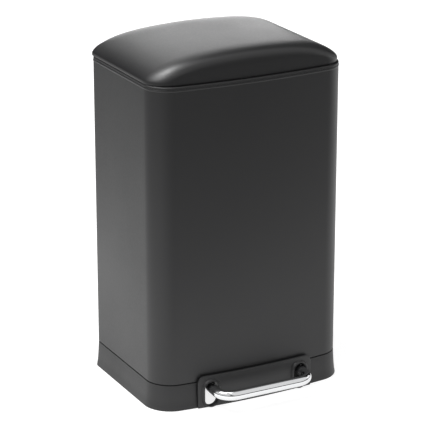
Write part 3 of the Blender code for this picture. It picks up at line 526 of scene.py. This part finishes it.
def make_liner():
    """Moulded inner panel: a flat ledge, a soft step, and a raised middle with stiffening ribs."""
    sheet = 0.0020
    raised = 0.0100
    edge = -0.0020
    step = edge - 0.0070
    slope = step - 0.0040
    profile = [(edge, LINER_Z), (edge, LINER_Z + sheet * 0.8), (edge - 0.0004, LINER_Z + sheet),
               (step + 0.001, LINER_Z + sheet), (step - 0.0003, LINER_Z + sheet + 0.0008),
               (slope + 0.0004, LINER_Z + sheet + raised - 0.0010),
               (slope - 0.0008, LINER_Z + sheet + raised)]
    under = [(slope - 0.0045, LINER_Z + raised), (slope - 0.0020, LINER_Z + raised - 0.0006),
             (slope - 0.0012, LINER_Z + raised - 0.0016), (step - 0.0016, LINER_Z + 0.0008),
             (step - 0.0010, LINER_Z)]
    liner = scratch_object(loft([plan_ring(grow, z, LID_SETBACK) for grow, z in profile + under],
                                closed=True))
    panel = []
    inset = slope + 0.0006
    for z in (LINER_Z + raised + 0.0001, LINER_Z + raised + sheet - 0.0001):
        panel.append(plan_ring(inset - 0.0015, z, LID_SETBACK))
    middle = scratch_object(loft(panel, cap_start=True, cap_end=True))
    parts = [middle]
    for x in (-0.085, 0.0, 0.085):
        parts.append(scratch_object(box_bmesh((x - 0.0008, FRONT_Y + 0.030, LINER_Z + raised - 0.0022),
                                              (x + 0.0008, BACK_Y - 0.040, LINER_Z + raised + 0.0008))))
    combined(liner, parts, "UNION")
    piece(liner, "lid_inner_panel", "lid", "lid_liner", 32)


# ---------------------------------------------------------------- body, rim and base


def make_body():
    """Rolled steel sleeve with a fine bead round its top edge, and flat rings up its long outer face."""
    low = BODY_LOW[2] + SLEEVE_LIFT
    high = BODY_HIGH[2]
    wall = -SLEEVE_WALL
    corners = [(0.0, low, 0.0005), (0.0, high - 0.0032, 0.0004), (SLEEVE_BEAD, high - 0.0022, 0.0006),
               (SLEEVE_BEAD, high, 0.0010), (wall, high, 0.0002), (wall, low, 0.0002)]
    profile = rounded_profile(corners)
    first, last, steps = low + 0.002, high - 0.006, 12
    heights = [first + (last - first) * step / steps for step in range(steps + 1)]
    long_face = 0.1
    start = next(i for i in range(len(profile) - 1) if profile[i + 1].y - profile[i].y > long_face)
    profile[start + 1:start + 1] = [Vector((0.0, z)) for z in heights]
    bm = loft([plan_ring(p.x, p.y) for p in profile], closed=True)
    piece(scratch_object(bm), "body_sleeve", "root", "outer_body", 40)


def make_rim():
    """Moulded rim: soft-edged band, ledge inwards, and a leg down inside the sleeve."""
    inside = -(SLEEVE_WALL + GAP)
    leg = inside - 0.0020
    low = RIM_Z - RIM_BAND
    corners = [(0.0, low, 0.0004), (0.0, RIM_Z, 0.0017), (-RIM_LEDGE, RIM_Z, 0.0008),
               (-RIM_LEDGE, RIM_Z - 0.0025, 0.0006), (leg, RIM_Z - 0.0040, 0.0012),
               (leg, RIM_Z - 0.0160, 0.0006), (inside, RIM_Z - 0.0160, 0.0003), (inside, low, 0.0002)]
    rim = scratch_object(plan_loft(corners))
    rod_y = (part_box("push_rod")[0][1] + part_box("push_rod")[1][1]) / 2
    notch = scratch_object(box_bmesh((-0.050, rod_y - 0.020, RIM_Z - 0.030),
                                     (0.050, BACK_Y - SLEEVE_WALL, RIM_Z + 0.010)))
    combined(rim, [notch], "DIFFERENCE")
    piece(rim, "rim_moulding", "root", "top_rim", 35)


def slot_outline(half_width, low, high):
    return (arc(0, high - half_width, half_width, 0, 180, 14)
            + arc(0, low + half_width, half_width, 180, 360, 14))


def upright_prism(outline, x, near, far):
    return loft([[(x + px, y, z) for px, z in outline] for y in (near, far)], cap_start=True, cap_end=True)


def make_skirt():
    """Moulded base ring, flared towards the floor, with a relief behind each slot."""
    low = SKIRT_LOW[2] - SKIRT_DROP
    high = SKIRT_HIGH[2] - SKIRT_DROP
    flare_bend = low + 0.014
    corners = [(SKIRT_FLARE, low, 0.0005), (SKIRT_FLARE * 0.45, flare_bend, 0.010), (0.0, high, 0.0007),
               (-SKIRT_WALL, high, 0.0003), (SKIRT_FLARE - SKIRT_WALL, low, 0.0006)]
    skirt = scratch_object(plan_loft(corners))
    around = 0.001
    relief = slot_outline(SLOT_HALF + around, SLOT_LOW_Z - around, SLOT_HIGH_Z + around / 2)
    cuts = [scratch_object(upright_prism(relief, x, FRONT_Y - 0.03, FRONT_Y + 0.02))
            for x in (-ARM_X, ARM_X)]
    combined(skirt, cuts, "DIFFERENCE")
    piece(skirt, "base_ring", "root", "base_skirt", 35)


def bow_onto_front(item):
    """Slices flat work crosswise, then lays it on the bowed front: x, depth, z becomes x, y, z."""
    bm = bmesh.new()
    bm.from_mesh(item.data)
    step = 0.0045
    count = int(PLATE_HALF / step)
    for index in range(-count, count + 1):
        geometry = bm.verts[:] + bm.edges[:] + bm.faces[:]
        bmesh.ops.bisect_plane(bm, geom=geometry, plane_co=(index * step, 0, 0), plane_no=(1, 0, 0))
    for vert in bm.verts:
        vert.co.y = FRONT_Y - front_bow(vert.co.x) - vert.co.y
    bmesh.ops.recalc_face_normals(bm, faces=bm.faces)
    bm.to_mesh(item.data)
    bm.free()


# Section of a slot's collar in mm: distance out from the slot's edge, and height above the plate.
COLLAR_PROFILE = [(5.4, -1.2), (5.4, 0.12), (5.0, 0.5), (4.6, 1.6), (4.1, 2.9), (3.3, 3.7), (2.4, 3.9),
                  (1.5, 3.6), (0.8, 2.8), (0.3, 1.6), (0.0, 0.2), (-0.6, -0.6), (-0.6, -1.2)]


def make_plate():
    """Moulded plate on the bowed front, with a soft raised collar round each pedal slot."""
    high = PLATE_HIGH[2]
    low = PLATE_LOW[2] - PLATE_DROP
    half = PLATE_HALF
    front = PLATE_BACK + PLATE_THICKNESS
    frame_points = arc(half - PLATE_CORNER, high - PLATE_CORNER, PLATE_CORNER, 0, 90, 12)
    frame_points += arc(-half + PLATE_CORNER, high - PLATE_CORNER, PLATE_CORNER, 90, 180, 12)
    corner = PLATE_LOW_CORNER
    frame_points += arc(-half + corner, low + corner, corner, 180, 270, 4)
    frame_points += arc(half - corner, low + corner, corner, 270, 360, 4)
    low_share = 0.15

    def inset(amount):
        """The outline drawn in by amount, but only by low_share of it at the sharp bottom edge."""
        wide = (half - amount) / half
        tall = (high - low - (1 + low_share) * amount) / (high - low)
        return [(x * wide, low + low_share * amount + (z - low) * tall) for x, z in frame_points]

    layers = [(0.0, PLATE_BACK)]
    for step in range(5):
        angle = math.radians(90 * step / 4)
        layers.append((PLATE_EDGE * (1 - math.cos(angle)), front - PLATE_EDGE * (1 - math.sin(angle))))
    rings = [[(x, depth, z) for x, z in inset(amount)] for amount, depth in layers]
    plate = scratch_object(loft(rings, cap_start=True, cap_end=True))
    collars = []
    cuts = []
    for x in (-ARM_X, ARM_X):
        rings = []
        for out, depth in COLLAR_PROFILE:
            grow = out / 1000
            bottom = max(SLOT_LOW_Z - grow, low + (COLLAR_PROFILE[0][0] / 1000 - grow) * 0.30)
            outline = slot_outline(SLOT_HALF + grow, bottom, SLOT_HIGH_Z + grow)
            rings.append([(x + px, front + depth / 1000, z) for px, z in outline])
        collars.append(scratch_object(loft(rings, closed=True)))
        slot = slot_outline(SLOT_HALF, SLOT_LOW_Z, SLOT_HIGH_Z)
        cuts.append(scratch_object(upright_prism(slot, x, -0.02, 0.03)))
    combined(plate, collars, "UNION")
    combined(plate, cuts, "DIFFERENCE")
    bow_onto_front(plate)
    piece(plate, "front_plate", "root", "pedal_plate", 38)


def make_feet():
    for node in ("foot_front_left", "foot_front_right", "foot_rear_left", "foot_rear_right"):
        low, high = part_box(node)
        centre = ((low[0] + high[0]) / 2, (low[1] + high[1]) / 2, 0.0)
        wide = (high[0] - low[0]) / 2
        tall = high[2]
        profile = [(0.0015, 0.0009), (0.0030, 0.0009), (0.0034, 0.0), (0.0046, 0.0), (0.0050, 0.0008),
                   (0.0058, 0.0008), (0.0062, 0.0), (wide - 0.0014, 0.0), (wide - 0.0007, 0.0005),
                   (wide - 0.0004, tall * 0.5), (wide, tall - 0.0004), (wide - 0.0004, tall), (0.002, tall)]
        foot = scratch_object(lathe(profile, centre, "Z", 40))
        piece(foot, node.replace("foot", "rubber_foot"), "root", node, 40)


# ---------------------------------------------------------------- pedal


def arm_z(y):
    front = FRONT_Y - front_bow(ARM_X)
    return BAR_Z + (ARM_Z_AT_FRONT - BAR_Z) / (front - BAR_Y) * (y - BAR_Y)


def make_bar():
    """Bent tube with smooth bends and square-cut ends."""
    end_y = BAR_HIGH[1]
    points = [(-ARM_X, end_y)] + straight((-ARM_X, end_y), (-ARM_X, BAR_Y + BAR_BEND), 8)
    points += arc(-ARM_X + BAR_BEND, BAR_Y + BAR_BEND, BAR_BEND, 180, 270, 24)
    points += straight((-ARM_X + BAR_BEND, BAR_Y), (ARM_X - BAR_BEND, BAR_Y), 12)
    points += arc(ARM_X - BAR_BEND, BAR_Y + BAR_BEND, BAR_BEND, 270, 360, 24)
    points += straight((ARM_X, BAR_Y + BAR_BEND), (ARM_X, end_y), 8) + [(ARM_X, end_y)]
    bm = tube([(x, y, arm_z(y)) for x, y in points], BAR_RADIUS, 48)
    piece(scratch_object(bm), "foot_bar", "pedal", "pedal_bar", 50)


# ---------------------------------------------------------------- bucket

BUCKET_LOW, BUCKET_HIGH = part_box("bucket")
LIP = 0.0045
BUCKET_HALF = BUCKET_HIGH[0] - LIP
BUCKET_FRONT = BUCKET_LOW[1] + LIP
BUCKET_BACK = BUCKET_HIGH[1] - LIP
BUCKET_TAPER = 0.010
BUCKET_WALL = 0.0020
BUCKET_CORNER = 0.030


def bucket_ring(grow, z):
    half = BUCKET_HALF + grow
    front = BUCKET_FRONT - grow
    back = BUCKET_BACK + grow
    radius = BUCKET_CORNER + grow
    outline = arc(-half + radius, front + radius, radius, 180, 270, 16)
    outline += straight(outline[-1], (half - radius, front), 16)
    outline += arc(half - radius, front + radius, radius, 270, 360, 16)
    outline += straight(outline[-1], (half, back - radius), 10)
    outline += arc(half - radius, back - radius, radius, 0, 90, 16)
    outline += straight(outline[-1], (-half + radius, back), 16)
    outline += arc(-half + radius, back - radius, radius, 90, 180, 16)
    outline += straight(outline[-1], (-half, front + radius), 10)
    return [(x, y, z) for x, y in outline]


def make_bucket():
    """Tapered moulded bucket: rounded floor edge, a step below the mouth and a turned-over lip."""
    low, high = BUCKET_LOW[2], BUCKET_HIGH[2]
    span = high - low
    fillet = 0.008

    def at(z):
        return -BUCKET_TAPER * (high - 0.0025 - z) / (span - 0.0025)

    outside = []
    for step in range(7):
        angle = math.radians(90 * step / 6)
        outside.append((-BUCKET_TAPER - fillet * (1 - math.sin(angle)), low + fillet * (1 - math.cos(angle))))
    for z in (low + 0.06, low + 0.2, low + 0.34, high - 0.0440):
        outside.append((at(z), z))
    outside += [(at(high - 0.042) - 0.0012, high - 0.0415), (at(high - 0.040) - 0.0012, high - 0.0395),
                (at(high - 0.038), high - 0.0370)]
    outside += [(-0.0002, high - 0.0030), (0.0006, high - 0.0024), (LIP - 0.0005, high - 0.0024),
                (LIP, high - 0.0018), (LIP, high - 0.0006), (LIP - 0.0006, high)]
    inside = [(-BUCKET_WALL + 0.0008, high), (-BUCKET_WALL, high - 0.0008)]
    for z in (high - 0.0375, high - 0.0400, high - 0.0420, low + 0.34, low + 0.2, low + 0.06):
        notch = 0.0012 if high - 0.043 < z < high - 0.038 else 0.0
        inside.append((at(z) - BUCKET_WALL - notch, z))
    for step in range(7):
        angle = math.radians(90 * step / 6)
        inside.append((-BUCKET_TAPER - BUCKET_WALL - fillet * (1 - math.cos(angle)),
                       low + BUCKET_WALL + fillet * (1 - math.sin(angle))))
    bm = loft([bucket_ring(grow, z) for grow, z in outside + inside], cap_start=True, cap_end=True)
    piece(scratch_object(bm), "inner_bucket", "bucket", "bucket", 35)


def make_bail():
    """Bent wire, and a moulded grip with finger ridges round its middle."""
    low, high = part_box("bail_wire")
    radius = 0.0020
    half = high[0] - radius
    near, far = low[1], high[1] - radius
    level = (low[2] + high[2]) / 2
    bend = 0.032
    points = [(-half, near)] + straight((-half, near), (-half, far - bend), 6)
    points += arc(-half + bend, far - bend, bend, 180, 90, 14)
    points += straight((-half + bend, far), (half - bend, far), 12)
    points += arc(half - bend, far - bend, bend, 90, 0, 14)
    points += straight((half, far - bend), (half, near), 6) + [(half, near)]
    wire = scratch_object(tube([(x, y, level) for x, y in points], radius, 20))
    piece(wire, "bail_wire_bent", "bail", "bail_wire", 50)
    grip_low, grip_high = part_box("bail_grip")
    outer = (grip_high[2] - grip_low[2]) / 2
    reach = grip_high[0]
    profile = [(0.0023, -reach), (outer - 0.0012, -reach), (outer - 0.0003, -reach + 0.0010),
               (outer, -reach + 0.0022)]
    for step in range(-28, 29):
        wave = 0.00045 * (1 - math.cos(2 * math.pi * (step + 28) / 8)) / 2
        profile.append((outer - wave, step * 0.0014))
    profile += [(outer, reach - 0.0022), (outer - 0.0003, reach - 0.0010), (outer - 0.0012, reach),
                (0.0023, reach)]
    rings = []
    for size, along in profile:
        rings.append([(along, far + size * math.cos(a), level + size * math.sin(a))
                      for a in (2 * math.pi * step / 32 for step in range(32))])
    grip = scratch_object(loft(rings, closed=True))
    piece(grip, "bail_grip_ridged", "bail", "bail_grip", 40)


# ---------------------------------------------------------------- hinge and fixings


def make_screws():
    """Low domed heads with a cross recess."""
    for number in range(1, 5):
        node = f"hinge_screw_{number}"
        low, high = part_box(node)
        x, z = (low[0] + high[0]) / 2, (low[2] + high[2]) / 2
        radius = (high[0] - low[0]) / 2
        tall = high[1] - low[1]
        profile = [(0.0008, 0.0), (radius, 0.0), (radius, tall * 0.30)]
        for step in range(1, 6):
            angle = math.radians(78 * step / 5)
            profile.append((radius * math.cos(angle), tall * (0.30 + 0.68 * math.sin(angle))))
        head = scratch_object(lathe(profile, (x, low[1], z), "Y", 32))
        turn = math.radians(17 + 23 * number)
        cuts = []
        for extra in (0, math.pi / 2):
            bm = box_bmesh((-0.0019, 0, -0.00035), (0.0019, 0.004, 0.00035))
            for vert in bm.verts:
                cx, cz = vert.co.x, vert.co.z
                vert.co.x = x + cx * math.cos(turn + extra) - cz * math.sin(turn + extra)
                vert.co.z = z + cx * math.sin(turn + extra) + cz * math.cos(turn + extra)
                vert.co.y = high[1] - 0.0008 + vert.co.y
            cuts.append(scratch_object(bm))
        combined(head, cuts, "DIFFERENCE")
        piece(head, f"housing_screw_{number}", "root", node, 40)


def dress_kept_nodes():
    """The nodes whose CAD shape is right keep it, with softened edges and their own material."""
    for name, node in NODES.items():
        if node.hide_render:
            continue
        node.data.materials.clear()
        node.data.materials.append(MATERIALS[SLOTS[name]])
        bevelled(node, {"hinge_housing": 0.0012, "base_deck": 0.0005}.get(name, 0.0003))


make_lid()
make_liner()
make_body()
make_rim()
make_skirt()
make_plate()
make_feet()
make_bar()
make_bucket()
make_bail()
make_screws()
dress_kept_nodes()

# ---------------------------------------------------------------- camera, floor and light

CAMERA_AZIMUTH = -27.6794
CAMERA_TILT = 19.3135
CAMERA_DISTANCE = 3.5941
CAMERA_TARGET = Vector((-0.00035, FRONT_Y + 0.13019, 0.2815))
CAMERA_LENS = 175.81
SENSOR_WIDTH = 36.0


def add_camera():
    azimuth = math.radians(CAMERA_AZIMUTH)
    tilt = math.radians(CAMERA_TILT)
    forward = Vector((-math.sin(azimuth) * math.cos(tilt), math.cos(azimuth) * math.cos(tilt),
                      -math.sin(tilt)))
    data = bpy.data.cameras.new("camera")
    data.lens = CAMERA_LENS
    data.sensor_width = SENSOR_WIDTH
    data.clip_end = 100
    camera = bpy.data.objects.new("camera", data)
    camera.location = CAMERA_TARGET - forward * CAMERA_DISTANCE
    camera.rotation_euler = (math.radians(90) - tilt, 0, azimuth)
    bpy.context.scene.collection.objects.link(camera)
    bpy.context.scene.camera = camera


def area_light(name, place, aim, size, power):
    data = bpy.data.lights.new(name, "AREA")
    data.shape = "RECTANGLE"
    data.size, data.size_y = size
    data.energy = power
    light = bpy.data.objects.new(name, data)
    light.location = place
    light.rotation_euler = (Vector(aim) - Vector(place)).to_track_quat("-Z", "Y").to_euler()
    bpy.context.scene.collection.objects.link(light)


def add_floor():
    """Pale sheet that glows round the object, fading towards the front and shaded under the object."""
    bm = bmesh.new()
    bmesh.ops.create_grid(bm, x_segments=1, y_segments=1, size=FLOOR_REACH)
    floor = scratch_object(bm, "floor")
    sheet = Surface("floor_sheet", (0.35, 0.35, 0.35), 0.85, specular=0.2)
    sheet.vary_colour(sheet.ramp(sheet.noise(3.0, 4.0), 0.4, 0.7, 0.0, 1.0), (0.345, 0.345, 0.345))
    split = sheet.tree.nodes.new("ShaderNodeSeparateXYZ")
    sheet.tree.links.new(sheet.place, split.inputs["Vector"])
    x, y = split.outputs["X"], split.outputs["Y"]
    glow = sheet.calc("MULTIPLY", sheet.ramp(y, GLOW_DARK_Y, GLOW_FULL_Y, GLOW_FRONT, GLOW),
                      sheet.ramp(x, *GLOW_LEFT_SPAN, GLOW_LEFT, 1.0))
    behind = sheet.calc("SUBTRACT", x, sheet.calc("MULTIPLY", y, 0.4))
    glow = sheet.calc("MULTIPLY", glow, sheet.ramp(behind, *GLOW_FAR_SPAN, GLOW_FAR, 1.0))
    slant = sheet.calc("ADD", y, sheet.calc("MULTIPLY", x, 0.5))
    across = sheet.calc("ABSOLUTE", x, 0.0)
    shade = sheet.calc("MULTIPLY", sheet.ramp(across, *SHADE_SIDE_SPAN, 1.0, 0.0),
                       sheet.ramp(y, FRONT_Y, FRONT_Y + SHADE_FRONT_SOFT, 0.0, 1.0))
    shade = sheet.calc("MULTIPLY", shade, sheet.ramp(y, *SHADE_BACK_SPAN, 1.0, 0.0))
    shade = sheet.calc("MULTIPLY", shade,
                       sheet.ramp(slant, SHADE_FROM, SHADE_FROM + SHADE_SLANT_SOFT, 0.0, 1.0))
    lit = sheet.calc("SUBTRACT", 1.0, shade)
    sheet.tree.links.new(sheet.calc("MULTIPLY", glow, lit), sheet.shader.inputs["Emission Strength"])
    sheet.shader.inputs["Emission Color"].default_value = (1, 1, 1, 1)
    floor.data.materials.append(sheet.material)


def add_world():
    """Dark room with soft glows: (towards, edge, core, strength), each above a dark horizon."""
    world = bpy.data.worlds.new("studio")
    bpy.context.scene.world = world
    world.use_nodes = True
    nodes, links = world.node_tree.nodes, world.node_tree.links
    nodes["Background"].inputs["Color"].default_value = (1, 1, 1, 1)
    place = nodes.new("ShaderNodeTexCoord").outputs["Generated"]

    def ramp(value, low, high, top):
        node = nodes.new("ShaderNodeMapRange")
        node.interpolation_type = "SMOOTHSTEP"
        for name, number in (("From Min", low), ("From Max", high), ("To Min", 0.0), ("To Max", top)):
            node.inputs[name].default_value = number
        links.new(value, node.inputs["Value"])
        return node.outputs["Result"]

    def towards(direction):
        node = nodes.new("ShaderNodeVectorMath")
        node.operation = "DOT_PRODUCT"
        node.inputs[1].default_value = Vector(direction).normalized()
        links.new(place, node.inputs[0])
        return node.outputs["Value"]

    def calc(operation, first, second):
        node = nodes.new("ShaderNodeMath")
        node.operation = operation
        links.new(first, node.inputs[0])
        links.new(second, node.inputs[1])
        return node.outputs["Value"]

    total = None
    for direction, edge, core, strength in WORLD_GLOWS:
        lobe = ramp(towards(direction), edge, core, strength)
        total = lobe if total is None else calc("MAXIMUM", total, lobe)
    above = ramp(towards((0, 0, 1)), HORIZON_LOW, HORIZON_HIGH, 1.0)
    links.new(calc("MULTIPLY", total, above), nodes["Background"].inputs["Strength"])


WORLD_GLOWS = [
    ((0.41, -0.62, 0.67), 0.62, 0.80, 0.82),
    ((-0.85, -0.25, 0.45), 0.66, 0.84, 0.75),
]
HORIZON_LOW = 0.13
HORIZON_HIGH = 0.25
FLOOR_REACH = 30
GLOW = 0.83
GLOW_FRONT = 0.04
GLOW_LEFT = 1.42
GLOW_LEFT_SPAN = (-0.50, -0.22)
GLOW_FAR = 0.15
GLOW_FAR_SPAN = (-1.3, -0.70)
GLOW_DARK_Y = -0.95
GLOW_FULL_Y = -0.45
SHADE_FROM = -0.078
SHADE_SLANT_SOFT = 0.004
SHADE_FRONT_SOFT = 0.006
SHADE_SIDE_SPAN = (0.160, 0.170)
SHADE_BACK_SPAN = (BACK_Y - 0.020, BACK_Y - 0.010)
LIGHT_AIM = (0.0, 0.02, 0.35)
LIGHTS = [
    ("backdrop", (1.06, 2.75, 0.97), (1.50, 1.28), 19.0),
    ("right_low", (2.93, 0.02, 0.97), (1.57, 1.28), 6.5),
    ("back", (0.52, 2.38, 2.20), (1.20, 1.17), 7.0),
    ("left", (-1.63, 0.02, 2.87), (1.35, 1.17), 40.0),
    ("overhead", (-0.40, -0.38, 3.29), (1.14, 1.17), 8.0),
    ("overhead_rear", (-0.40, 0.42, 3.29), (1.14, 1.17), 5.0),
    ("glint", (-0.87, 0.80, 3.11), (0.50, 0.35), 56.0),
]

add_camera()
add_floor()
add_world()
bpy.context.scene.view_settings.view_transform = "Standard"
for light_name, place, size, power in LIGHTS:
    area_light(light_name, place, LIGHT_AIM, size, power)
